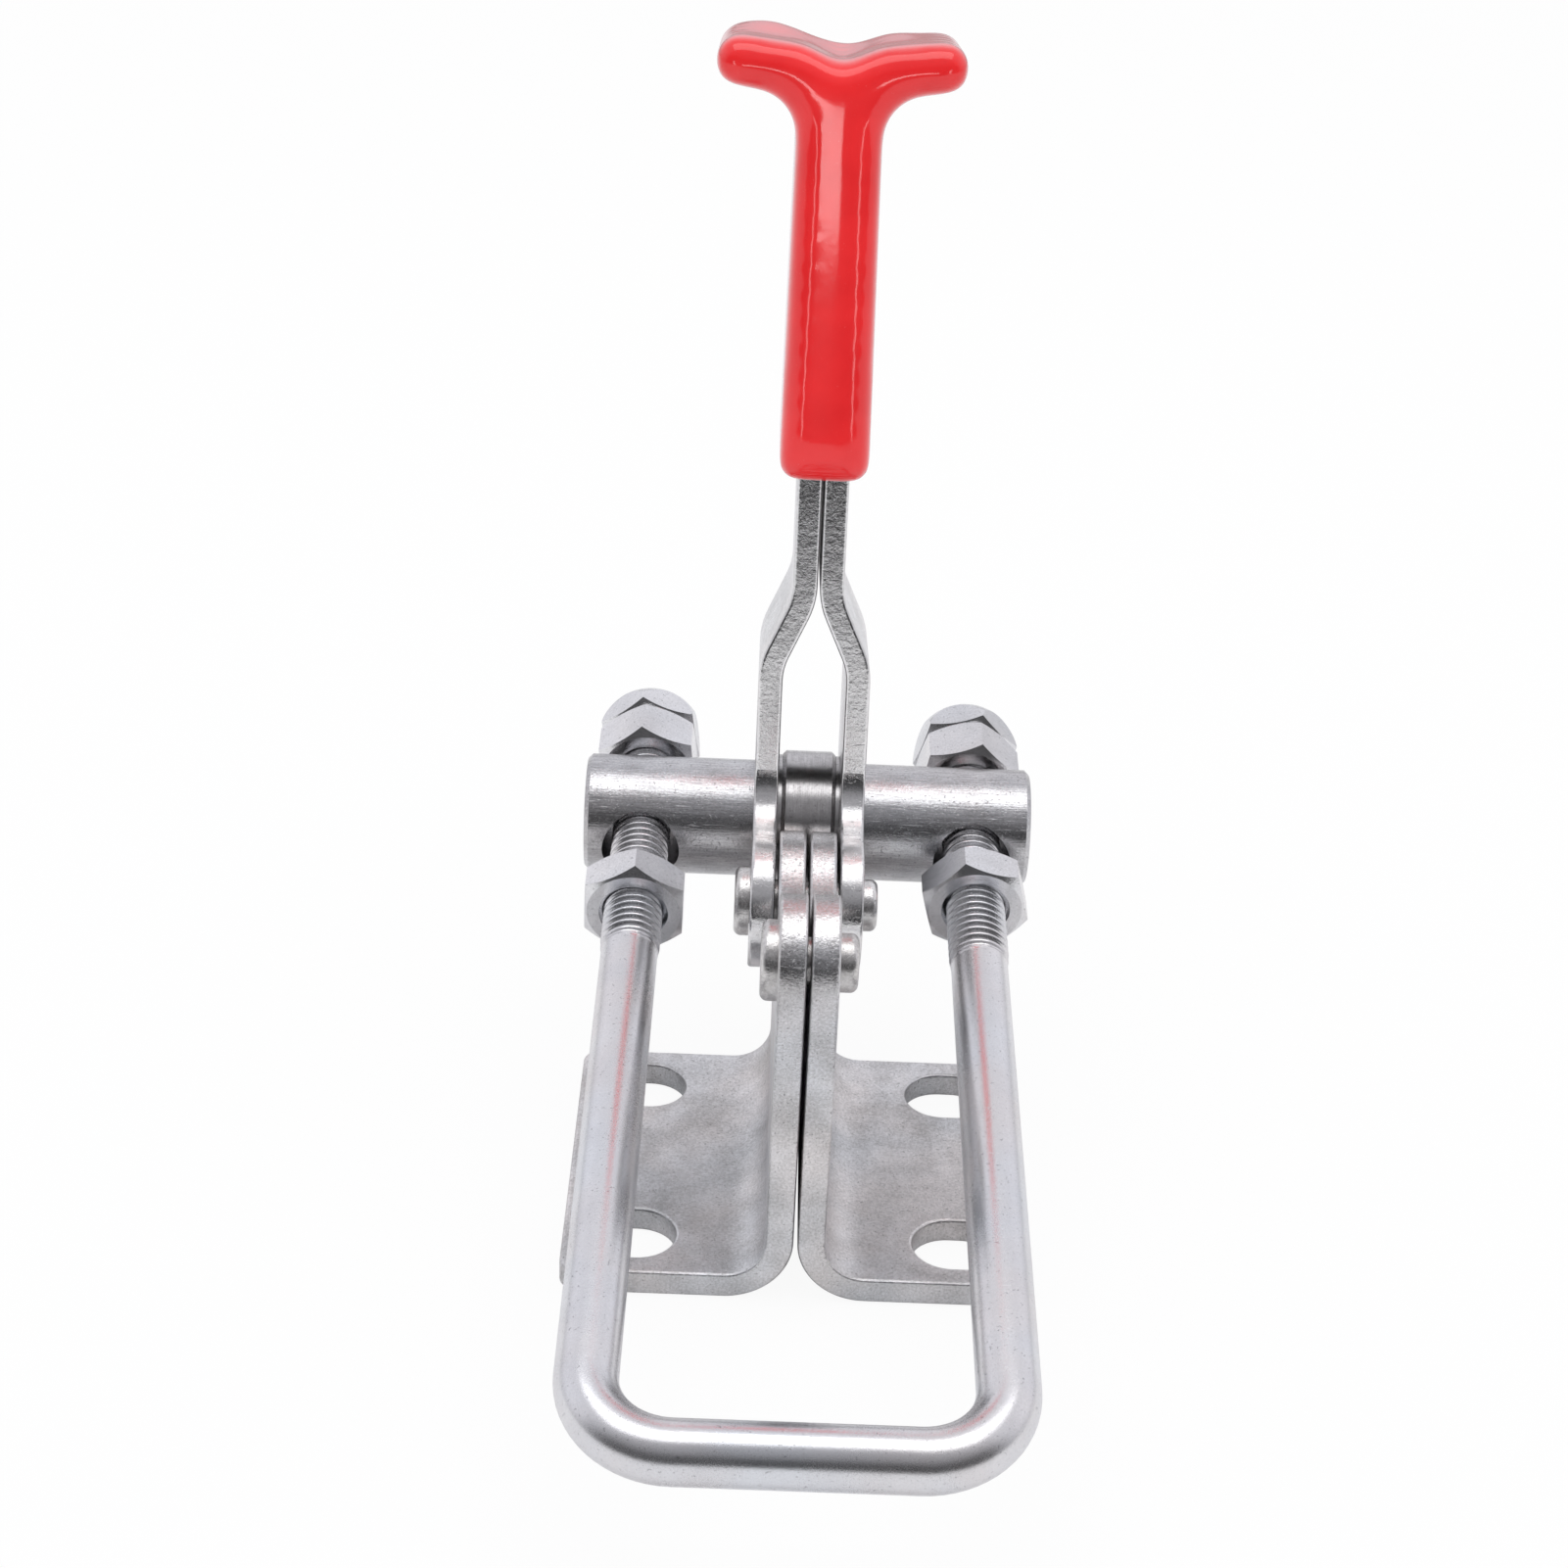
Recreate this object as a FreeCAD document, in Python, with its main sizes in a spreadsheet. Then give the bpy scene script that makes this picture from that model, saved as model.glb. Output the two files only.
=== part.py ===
import FreeCAD, Part
import math
import os
import Sketcher
from FreeCAD import Placement, Rotation, Vector

# Over centre toggle latch: two bent brackets riveted back to back, a T handle of
# two joggled plates, a cross bar with a roller, and a threaded hook with nuts.
# Frame: millimetres, origin at the centre of the mounting slots on the underside,
# +X to the right, +Y away from the hook, +Z up. The latch is closed.

os.makedirs("parts", exist_ok=True)
doc = FreeCAD.newDocument("toggle_latch")
sheet = doc.addObject("Spreadsheet::Sheet", "Sizes")

SIZES = [
    # bracket: bent steel sheet
    ("bracket_sheet", 3.5, "thickness of the bracket sheet"),
    ("bracket_gap", 0.5, "space between the two uprights"),
    ("edge_break", 0.45, "rounding of the tumbled edges of every sheet"),
    ("bend_inner", 5.2, "inner radius of the bracket's bend"),
    ("base_width", 59.6, "both feet, outer edge to outer edge"),
    ("base_depth", 50.0, "feet, front to back"),
    ("base_corner", 2.5, "corner radius of the feet"),
    ("slot_inset_side", 8.8, "outer edge of a foot to its slots' centres"),
    ("slot_inset_end", 8.25, "front or rear edge of a foot to the slot centre"),
    ("slot_width", 10.0, "width of each mounting slot"),
    ("slot_length", 11.5, "end to end length of each slot"),
    ("frame_rivet_inset", 8.25, "front edge of the upright to the frame rivet"),
    ("frame_rivet_height", 45.5, "frame rivet above the underside"),
    ("pivot_ahead", 12.0, "rear edge of the feet to the pivot"),
    ("pivot_height", 36.0, "pivot above the underside"),
    ("pivot_lobe", 9.5, "radius of the upright about the pivot"),
    ("saddle_radius", 14.0, "hollow between the two lobes"),
    ("knee_height", 23.5, "where the rear edge starts to lean forward"),
    # rivets
    ("frame_rivet_shank", 6.0, "diameter"),
    ("frame_rivet_head", 10.0, "diameter"),
    ("frame_rivet_tail", 7.3, "diameter"),
    ("frame_rivet_head_height", 2.1, "height of the head"),
    ("frame_rivet_tail_height", 2.4, "height of the tail"),
    ("rivet_round", 1.0, "edge radius of every rivet head"),
    ("pivot_shank", 6.0, "diameter of the pivot rivet"),
    ("pivot_head", 9.2, "diameter"),
    ("pivot_tail", 6.9, "diameter beyond the plate"),
    ("pivot_head_height", 2.0, "height of the head and the tail"),
    ("pivot_fit", 0.05, "radial clearance of a pin that turns"),
    # handle
    ("bar_behind_pivot", 19.0, "pivot to cross bar, level distance"),
    ("bar_above_pivot", 2.0, "pivot to cross bar, height"),
    ("handle_lean", 10.0, "degrees the handle leans back when closed"),
    ("handle_sheet", 3.2, "thickness of the handle plates"),
    ("handle_clearance", 0.45, "upright to handle plate, each side"),
    ("arm_width", 20.4, "depth of the arm, front edge to rear edge"),
    ("lobe_inset", 1.5, "half the arm's depth less the radius about the pivot"),
    ("eye_step", 1.8, "radius about the cross bar less half the arm's depth"),
    ("eye_fillet", 10.0, "hollow where the eye runs into the arm"),
    ("arm_fillet", 7.0, "inner corner of the plate ahead of the bar"),
    ("joggle_start", 24.4, "bar axis to where the plates start inwards"),
    ("joggle_end", 33.4, "bar axis to where the plates meet"),
    ("plate_touch", 0.15, "half of the space between the joined plates"),
    ("joggle_radius", 8.0, "inner radius of the joggle's bends"),
    ("tee_height", 104.2, "bar axis to the top of the steel tee"),
    ("tee_reach", 13.6, "centre to the end of each steel arm"),
    ("tee_rise", 1.2, "how much an arm's end stands above its root"),
    ("tee_bend", 3.0, "inner radius where an arm bends out"),
    # vinyl grip
    ("vinyl", 1.7, "thickness of the dipped coating on the stem"),
    ("vinyl_tee", 1.2, "thickness of the coating above and below the tee's arms"),
    ("vinyl_end", 1.9, "thickness at the front, the rear and the arms' ends"),
    ("grip_start", 50.0, "bar axis to the lower rim of the grip"),
    ("grip_swell", 0.5, "extra coating at the lower rim"),
    ("grip_throat", 6.0, "hollow radius under the tee"),
    ("grip_round", 2.7, "edge radius of the coating, front and rear"),
    ("grip_rim", 1.6, "edge radius of the lower rim"),
    ("grip_groove", 2.2, "depth of the groove between the arms"),
    ("grip_groove_half", 5.0, "half width of that groove at the top"),
    ("grip_groove_round", 3.0, "radius at the bottom and sides of that groove"),
    ("grip_end_round", 2.6, "corner radius at the ends of the tee"),
    # cross bar and roller
    ("bar_diameter", 16.0, "cross bar"),
    ("bar_length", 60.5, "cross bar, end to end"),
    ("bar_chamfer", 0.6, "chamfer at each end"),
    ("bar_hole", 10.5, "cross holes for the hook"),
    ("bar_fit", 0.06, "radial clearance of the bar in plates and roller"),
    ("roller_step", 3.0, "roller's diameter less the bar's"),
    ("roller_chamfer", 0.5, "chamfer of the roller"),
    ("washer_thickness", 0.5, "thin washer at each end of the roller"),
    ("washer_step", 1.8, "washers' diameter less the bar's"),
    ("side_play", 0.05, "free space on each side of a washer"),
    # hook
    ("hook_droop", 10.0, "degrees the hook slopes down to the front"),
    ("leg_inset", 7.75, "end of the cross bar to the leg's centre"),
    ("leg_spread", 1.2, "how far each leg spreads outwards by the far end"),
    ("hook_reach", 109.5, "bar axis to the centre of the far rod"),
    ("hook_bend", 10.0, "centre line radius of the hook's corners"),
    ("rod_diameter", 7.4, "plain rod"),
    ("thread_diameter", 7.9, "crest of the M8 thread"),
    ("thread_front", 28.0, "bar axis to the end of the thread"),
    ("thread_back", 20.0, "bar axis to the rear tip of the thread"),
    ("thread_tip", 0.8, "chamfer of the tip"),
    # nuts
    ("nut_flats", 13.0, "across flats"),
    ("nut_height", 6.8, "rear nuts"),
    ("thin_nut_height", 5.3, "front nuts"),
    ("nut_lead", 0.6, "countersink of the bore of a plain nut"),
    ("nut_face", 12.4, "diameter where the chamfer of the corners starts"),
    ("nut_chamfer", 0.9, "height of that chamfer at the corners"),
    ("nut_fit", 0.04, "radial clearance on the thread crest"),
    ("rear_nut_gap_right", 0.15, "bar to the right rear nut"),
    ("rear_nut_gap_left", 1.0, "bar to the left rear nut"),
    ("front_nut_gap_right", 4.4, "bar to the right front nut"),
    ("front_nut_gap_left", 7.7, "bar to the left front nut"),
    ("cap_rim", 0.5, "full hexagon of the cap nut ahead of its dome"),
    ("cap_dome", 7.5, "radius of the dome that rounds off the hexagon"),
    ("cap_gap", 0.05, "plain nut to cap nut"),
    ("front_nut_turn_right", 14.0, "degrees the right front nut is turned"),
    ("front_nut_turn_left", -1.0, "degrees the left front nut is turned"),
    ("rear_nut_turn_right", -13.0, "degrees the right rear nut is turned"),
    ("rear_nut_turn_left", 7.0, "degrees the left rear nut is turned"),
    ("cap_nut_turn_right", -16.0, "degrees the right cap nut is turned"),
    ("cap_nut_turn_left", 9.0, "degrees the left cap nut is turned"),
    ("cap_spare", 0.5, "free depth of the bore behind the thread's tip"),
]

for row, (alias, number, note) in enumerate(SIZES, start=1):
    sheet.set("A%d" % row, alias)
    sheet.set("B%d" % row, str(number))
    sheet.setAlias("B%d" % row, alias)
    sheet.set("C%d" % row, note)
doc.recompute()


def size(alias):
    return float(sheet.get(alias))


def expr(text):
    """Put the sheet's name before every alias in an expression."""
    words = []
    word = ""
    for letter in text + " ":
        if letter.isalnum() or letter == "_":
            word += letter
            continue
        if word in ALIASES:
            word = "Sizes." + word
        words.append(word + letter)
        word = ""
    return "".join(words).strip()


ALIASES = {alias for alias, number, note in SIZES}


def number(text):
    """The present value of an expression, as a plain number."""
    result = sheet.evalExpression(expr(text))
    return float(getattr(result, "Value", result))


def plane(body, role):
    return next(item for item in body.Origin.OriginFeatures if item.Role == role)


def new_body(name, position=("0", "0", "0"), tilt="0"):
    """A body placed in the latch, turned about X by tilt degrees."""
    body = doc.addObject("PartDesign::Body", name)
    body.Label = name
    body.Placement = Placement(Vector(), Rotation(Vector(1, 0, 0), 0))
    for axis, text in zip("xyz", position):
        body.setExpression("Placement.Base." + axis, expr(text))
    body.setExpression("Placement.Rotation.Angle", expr(tilt))
    return body


def new_sketch(body, name, role):
    sketch = body.newObject("Sketcher::SketchObject", name)
    sketch.AttachmentSupport = [(plane(body, role), "")]
    sketch.MapMode = "FlatFace"
    return sketch


def bind(sketch, kind, items, text):
    """A driving dimension whose value follows the sheet."""
    index = sketch.addConstraint(Sketcher.Constraint(kind, *items, number(text)))
    sketch.setExpression("Constraints[%d]" % index, expr(text))
    return index


def pin(sketch, geometry, point, across, up):
    """Fix a point of the sketch at two expressions from the sketch's origin."""
    bind(sketch, "DistanceX", (-1, 1, geometry, point), across)
    bind(sketch, "DistanceY", (-1, 1, geometry, point), up)


def polygon(sketch, corners):
    """A closed outline through the corners, each one a pair of expressions."""
    points = [Vector(number(across), number(up), 0) for across, up in corners]
    lines = []
    for start, end in zip(points, points[1:] + points[:1]):
        lines.append(sketch.addGeometry(Part.LineSegment(start, end), False))
    for line, after in zip(lines, lines[1:] + lines[:1]):
        sketch.addConstraint(Sketcher.Constraint("Coincident", line, 2, after, 1))
    for line, (across, up) in zip(lines, corners):
        pin(sketch, line, 1, across, up)
    return lines


def circle(sketch, across, up, radius):
    centre = Vector(number(across), number(up), 0)
    shape = Part.Circle(centre, Vector(0, 0, 1), number(radius))
    ring = sketch.addGeometry(shape, False)
    pin(sketch, ring, 3, across, up)
    bind(sketch, "Radius", (ring,), radius)
    return ring


def arc(sketch, centre, start, end):
    """An anticlockwise arc from start to end."""
    radius = (start - centre).Length
    first = math.atan2(start.y - centre.y, start.x - centre.x)
    last = math.atan2(end.y - centre.y, end.x - centre.x)
    if last < first:
        last += 2 * math.pi
    ring = Part.Circle(centre, Vector(0, 0, 1), radius)
    return sketch.addGeometry(Part.ArcOfCircle(ring, first, last), False)


def line(sketch, start, end):
    return sketch.addGeometry(Part.LineSegment(start, end), False)


def join(sketch, kind, first, first_end, second, second_end):
    constraint = Sketcher.Constraint(kind, first, first_end, second, second_end)
    sketch.addConstraint(constraint)


def pad(body, sketch, name, length):
    feature = body.newObject("PartDesign::Pad", name)
    feature.Profile = sketch
    feature.Midplane = True
    feature.setExpression("Length", expr(length))
    doc.recompute()
    return feature


def pocket(body, sketch, name):
    """Cut the sketch through the whole body, to both sides."""
    before = body.Shape.Volume
    feature = body.newObject("PartDesign::Pocket", name)
    feature.Profile = sketch
    feature.Type = "ThroughAll"
    feature.Midplane = True
    doc.recompute()
    if body.Shape.Volume > before - 0.01:
        raise RuntimeError(name + " cuts nothing")
    return feature


def edges_along(feature, direction, places, reach=0.05):
    """Names of straight edges along a direction that pass through given points.

    A place holds None for the coordinate that the edge runs along.
    """
    found = []
    for index, edge in enumerate(feature.Shape.Edges, start=1):
        if edge.Curve.TypeId != "Part::GeomLine":
            continue
        if abs(edge.Curve.Direction.dot(direction)) < 0.999:
            continue
        middle = edge.CenterOfMass
        for place in places:
            gaps = [
                abs(value - wanted)
                for value, wanted in zip(middle, place)
                if wanted is not None
            ]
            if max(gaps) < reach:
                found.append("Edge%d" % index)
                break
    if len(found) < len(places):
        raise RuntimeError(feature.Name + ": an edge is missing")
    return found


def dress(body, base, name, kind, edges, amount):
    """A fillet or chamfer on named edges of the base feature."""
    feature = body.newObject("PartDesign::" + kind, name)
    feature.Base = (base, edges)
    attribute = "Radius" if kind == "Fillet" else "Size"
    feature.setExpression(attribute, expr(amount))
    doc.recompute()
    return feature


def soften_sheet(body, base, name, reach):
    """Round the cut edges of a bent sheet; reach is where a foot's end face stands.

    The sheet's skins run along Y; its cut faces are the others. Holes stay sharp.
    """
    def kind(face):
        surface = face.Surface
        if surface.TypeId == "Part::GeomPlane":
            if abs(abs(face.CenterOfMass.x) - reach) < 0.1:
                return "cut"
            return "skin" if abs(surface.Axis.y) < 0.001 and not level(surface) else "cut"
        if surface.TypeId != "Part::GeomCylinder":
            return "other"
        if abs(surface.Axis.y) > 0.999:
            return "skin"
        if abs(surface.Axis.x) > 0.999 and surface.Radius < HOLE_LIMIT:
            return "hole"
        if abs(surface.Axis.z) > 0.999 and surface.Radius > size("base_corner") + 0.1:
            return "hole"
        return "cut"

    def level(surface):
        # a plane along X and across the arm is a cut face of a handle plate
        return reach == 0 and abs(surface.Axis.x) < 0.001

    names = []
    for index, edge in enumerate(base.Shape.Edges, start=1):
        faces = base.Shape.ancestorsOfType(edge, Part.Face)
        kinds = sorted(kind(face) for face in faces)
        if kinds == ["cut", "skin"]:
            names.append("Edge%d" % index)
    return dress(body, base, name, "Fillet", names, "edge_break")


def signed(side, text):
    return text if side > 0 else "-(" + text + ")"


HOLE_LIMIT = size("bar_diameter") / 2 + 0.5
AXIS_X = Vector(1, 0, 0)
AXIS_Y = Vector(0, 1, 0)
AXIS_Z = Vector(0, 0, 1)

UPRIGHT_INNER = "bracket_gap / 2"
UPRIGHT_OUTER = "(bracket_gap / 2 + bracket_sheet)"
FRAME_RIVET_Y = "(frame_rivet_inset - base_depth / 2)"
PIVOT_Y = "(base_depth / 2 - pivot_ahead)"
BAR_Y = "(base_depth / 2 - pivot_ahead + bar_behind_pivot)"
BAR_Z = "(pivot_height + bar_above_pivot)"
PLATE_INNER = "(bracket_gap / 2 + bracket_sheet + handle_clearance)"
PLATE_OUTER = "(bracket_gap / 2 + bracket_sheet + handle_clearance + handle_sheet)"


def bracket(name, side):
    """One foot and its upright, bent from one sheet."""
    body = new_body(name)

    section = new_sketch(body, name + "_section", "XZ_Plane")
    top = "(frame_rivet_height + frame_rivet_inset + bracket_sheet)"
    corners = [
        (UPRIGHT_INNER, "0"),
        ("base_width / 2", "0"),
        ("base_width / 2", "bracket_sheet"),
        (UPRIGHT_OUTER, "bracket_sheet"),
        (UPRIGHT_OUTER, top),
        (UPRIGHT_INNER, top),
    ]
    polygon(section, [(signed(side, across), up) for across, up in corners])
    blank = pad(body, section, name + "_blank", "base_depth")

    inner_corner = [(side * number(UPRIGHT_OUTER), None, size("bracket_sheet"))]
    outer_corner = [(side * number(UPRIGHT_INNER), None, 0.0)]
    inner_edge = edges_along(blank, AXIS_Y, inner_corner)
    inside = dress(body, blank, name + "_bend_inner", "Fillet", inner_edge, "bend_inner")
    outer_edge = edges_along(inside, AXIS_Y, outer_corner)
    bend_outer = "bend_inner + bracket_sheet"
    dress(body, inside, name + "_bend_outer", "Fillet", outer_edge, bend_outer)

    # Side outline: straight front, a lobe about each rivet with a saddle between,
    # and a rear edge that the roller comes to rest against.
    outline = new_sketch(body, name + "_outline", "YZ_Plane")
    front = -number("base_depth / 2")
    rear = -front
    below = -size("bracket_sheet")
    knee = Vector(rear, size("knee_height"), 0)
    rivet = Vector(number(FRAME_RIVET_Y), size("frame_rivet_height"), 0)
    pivot = Vector(number(PIVOT_Y), size("pivot_height"), 0)
    rivet_lobe = size("frame_rivet_inset")
    pivot_lobe = size("pivot_lobe")
    saddle_radius = size("saddle_radius")
    saddle = third_corner(rivet, pivot, rivet_lobe + saddle_radius, pivot_lobe + saddle_radius)
    rivet_to_saddle = rivet + (saddle - rivet).normalize() * rivet_lobe
    pivot_to_saddle = pivot + (saddle - pivot).normalize() * pivot_lobe
    rear_touch = tangent_point(knee, pivot, pivot_lobe, 1)
    front_top = Vector(front, rivet.y, 0)
    front_foot = Vector(front, below, 0)
    rear_foot = Vector(rear, below, 0)

    front_edge = line(outline, front_foot, front_top)
    lobe_front = arc(outline, rivet, rivet_to_saddle, front_top)
    hollow = arc(outline, saddle, rivet_to_saddle, pivot_to_saddle)
    lobe_pivot = arc(outline, pivot, rear_touch, pivot_to_saddle)
    slope = line(outline, rear_touch, knee)
    rear_edge = line(outline, knee, rear_foot)
    foot = line(outline, rear_foot, front_foot)
    join(outline, "Tangent", front_edge, 2, lobe_front, 2)
    join(outline, "Tangent", lobe_front, 1, hollow, 1)
    join(outline, "Tangent", hollow, 2, lobe_pivot, 2)
    join(outline, "Tangent", lobe_pivot, 1, slope, 1)
    join(outline, "Coincident", slope, 2, rear_edge, 1)
    join(outline, "Coincident", rear_edge, 2, foot, 1)
    join(outline, "Coincident", foot, 2, front_edge, 1)
    pin(outline, front_edge, 1, "-base_depth / 2", "-bracket_sheet")
    pin(outline, lobe_front, 3, FRAME_RIVET_Y, "frame_rivet_height")
    outline.addConstraint(Sketcher.Constraint("Vertical", front_edge))
    bind(outline, "Radius", (hollow,), "saddle_radius")
    pin(outline, lobe_pivot, 3, PIVOT_Y, "pivot_height")
    bind(outline, "Radius", (lobe_pivot,), "pivot_lobe")
    pin(outline, slope, 2, "base_depth / 2", "knee_height")
    pin(outline, rear_edge, 2, "base_depth / 2", "-bracket_sheet")
    polygon(outline, [
        ("-base_depth", "-base_depth"),
        ("base_depth", "-base_depth"),
        ("base_depth", "base_depth * 2"),
        ("-base_depth", "base_depth * 2"),
    ])
    pocket(body, outline, name + "_trim")

    holes = new_sketch(body, name + "_rivet_holes", "YZ_Plane")
    circle(holes, FRAME_RIVET_Y, "frame_rivet_height", "frame_rivet_shank / 2 + pivot_fit")
    circle(holes, PIVOT_Y, "pivot_height", "pivot_shank / 2 + pivot_fit")
    pocket(body, holes, name + "_drill")

    slots = new_sketch(body, name + "_slots", "XY_Plane")
    half = "(slot_length - slot_width) / 2"
    across = signed(side, "base_width / 2 - slot_inset_side")
    for along in ("base_depth / 2 - slot_inset_end", "slot_inset_end - base_depth / 2"):
        slot(slots, across, along, half, "slot_width / 2")
    slotted = pocket(body, slots, name + "_slotting")

    outer = side * size("base_width") / 2
    ends = [(outer, front, None), (outer, rear, None)]
    corner_edges = edges_along(slotted, AXIS_Z, ends)
    cornered = dress(body, slotted, name + "_corners", "Fillet", corner_edges, "base_corner")
    soften_sheet(body, cornered, name + "_soft", size("base_width") / 2)
    return body


def third_corner(first, second, from_first, from_second):
    """The point above the line first-second at the given distances from both."""
    across = second - first
    span = across.Length
    along = (from_first ** 2 - from_second ** 2 + span ** 2) / (2 * span)
    height = math.sqrt(from_first ** 2 - along ** 2)
    across.normalize()
    normal = Vector(-across.y, across.x, 0)
    return first + across * along + normal * height


def tangent_point(outside, centre, radius, turn):
    """Where a line from outside touches a circle; turn picks the side."""
    reach = outside - centre
    angle = math.acos(radius / reach.Length) * turn
    heading = math.atan2(reach.y, reach.x) + angle
    return centre + Vector(math.cos(heading), math.sin(heading), 0) * radius


def slot(sketch, across, up, half, radius):
    """A slot along the sketch's first axis, half being its centre to arc centre."""
    centre = Vector(number(across), number(up), 0)
    shift = Vector(number(half), 0, 0)
    rise = Vector(0, number(radius), 0)
    right = arc(sketch, centre + shift, centre + shift - rise, centre + shift + rise)
    upper = line(sketch, centre + shift + rise, centre - shift + rise)
    left = arc(sketch, centre - shift, centre - shift + rise, centre - shift - rise)
    lower = line(sketch, centre - shift - rise, centre + shift - rise)
    join(sketch, "Tangent", right, 2, upper, 1)
    join(sketch, "Tangent", upper, 2, left, 1)
    join(sketch, "Tangent", left, 2, lower, 1)
    join(sketch, "Tangent", lower, 2, right, 1)
    pin(sketch, right, 3, across + " + " + half, up)
    pin(sketch, left, 3, across + " - " + half, up)
    bind(sketch, "Radius", (right,), radius)


def circles_at(feature, axis, radius, places, reach=0.02):
    """Names of circular edges about an axis direction at given centres."""
    found = []
    for index, edge in enumerate(feature.Shape.Edges, start=1):
        if edge.Curve.TypeId != "Part::GeomCircle":
            continue
        if abs(edge.Curve.Radius - radius) > reach:
            continue
        if abs(edge.Curve.Axis.dot(axis)) < 0.999:
            continue
        for place in places:
            if (edge.Curve.Center - place).Length < reach:
                found.append("Edge%d" % index)
                break
    if not found:
        raise RuntimeError(feature.Name + ": no circular edge found")
    return found


def loop_edges(feature, coordinate, values, reach=0.02):
    """Names of all edges that lie in planes across one axis."""
    found = []
    for index, edge in enumerate(feature.Shape.Edges, start=1):
        box = edge.BoundBox
        low = getattr(box, coordinate + "Min")
        high = getattr(box, coordinate + "Max")
        if high - low < reach and any(abs(low - value) < reach for value in values):
            found.append("Edge%d" % index)
    return found


def revolve(body, sketch, name, axis):
    feature = body.newObject("PartDesign::Revolution", name)
    feature.Profile = sketch
    feature.ReferenceAxis = (sketch, [axis])
    feature.Angle = 360.0
    doc.recompute()
    return feature


def rivet(name, prefix, across, up, grip, head, head_height, tail, tail_height):
    """Shank with a round head on the left and a smaller tail on the right."""
    body = new_body(name, ("0", across, up))
    profile = new_sketch(body, name + "_profile", "XZ_Plane")
    left = "-" + grip
    polygon(profile, [
        (left + " - " + head_height, "0"),
        (grip + " + " + tail_height, "0"),
        (grip + " + " + tail_height, tail + " / 2"),
        (grip, tail + " / 2"),
        (grip, prefix + "_shank / 2"),
        (left, prefix + "_shank / 2"),
        (left, head + " / 2"),
        (left + " - " + head_height, head + " / 2"),
    ])
    turned = revolve(body, profile, name + "_turned", "H_Axis")
    head_face = Vector(number(left + " - " + head_height), 0, 0)
    tail_face = Vector(number(grip + " + " + tail_height), 0, 0)
    edges = circles_at(turned, AXIS_X, size(head) / 2, [head_face])
    edges += circles_at(turned, AXIS_X, size(tail) / 2, [tail_face])
    dress(body, turned, name + "_rounded", "Fillet", edges, "rivet_round")
    return body


ARM_HALF = "(arm_width / 2)"
HANDLE_LOBE = "(arm_width / 2 - lobe_inset)"
BAR_EYE = "(arm_width / 2 + eye_step)"
JOGGLE_SLOPE = "atan((" + PLATE_INNER + " - plate_touch) / (joggle_end - joggle_start))"
JOGGLE_SHIFT = "(handle_sheet * tan(" + JOGGLE_SLOPE + " / 2))"
TEE_SLOPE = "atan(tee_rise / tee_reach)"
TEE_SHIFT = "(handle_sheet * cos(" + TEE_SLOPE + ") / (1 + sin(" + TEE_SLOPE + ")))"


def bar_position():
    return ("0", BAR_Y, BAR_Z)


def handle_point(across, up):
    """A place given level from the bar, as seen along the leaning arm."""
    along = "(%s) * cos(handle_lean) - (%s) * sin(handle_lean)" % (across, up)
    rise = "(%s) * sin(handle_lean) + (%s) * cos(handle_lean)" % (across, up)
    return along, rise


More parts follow.
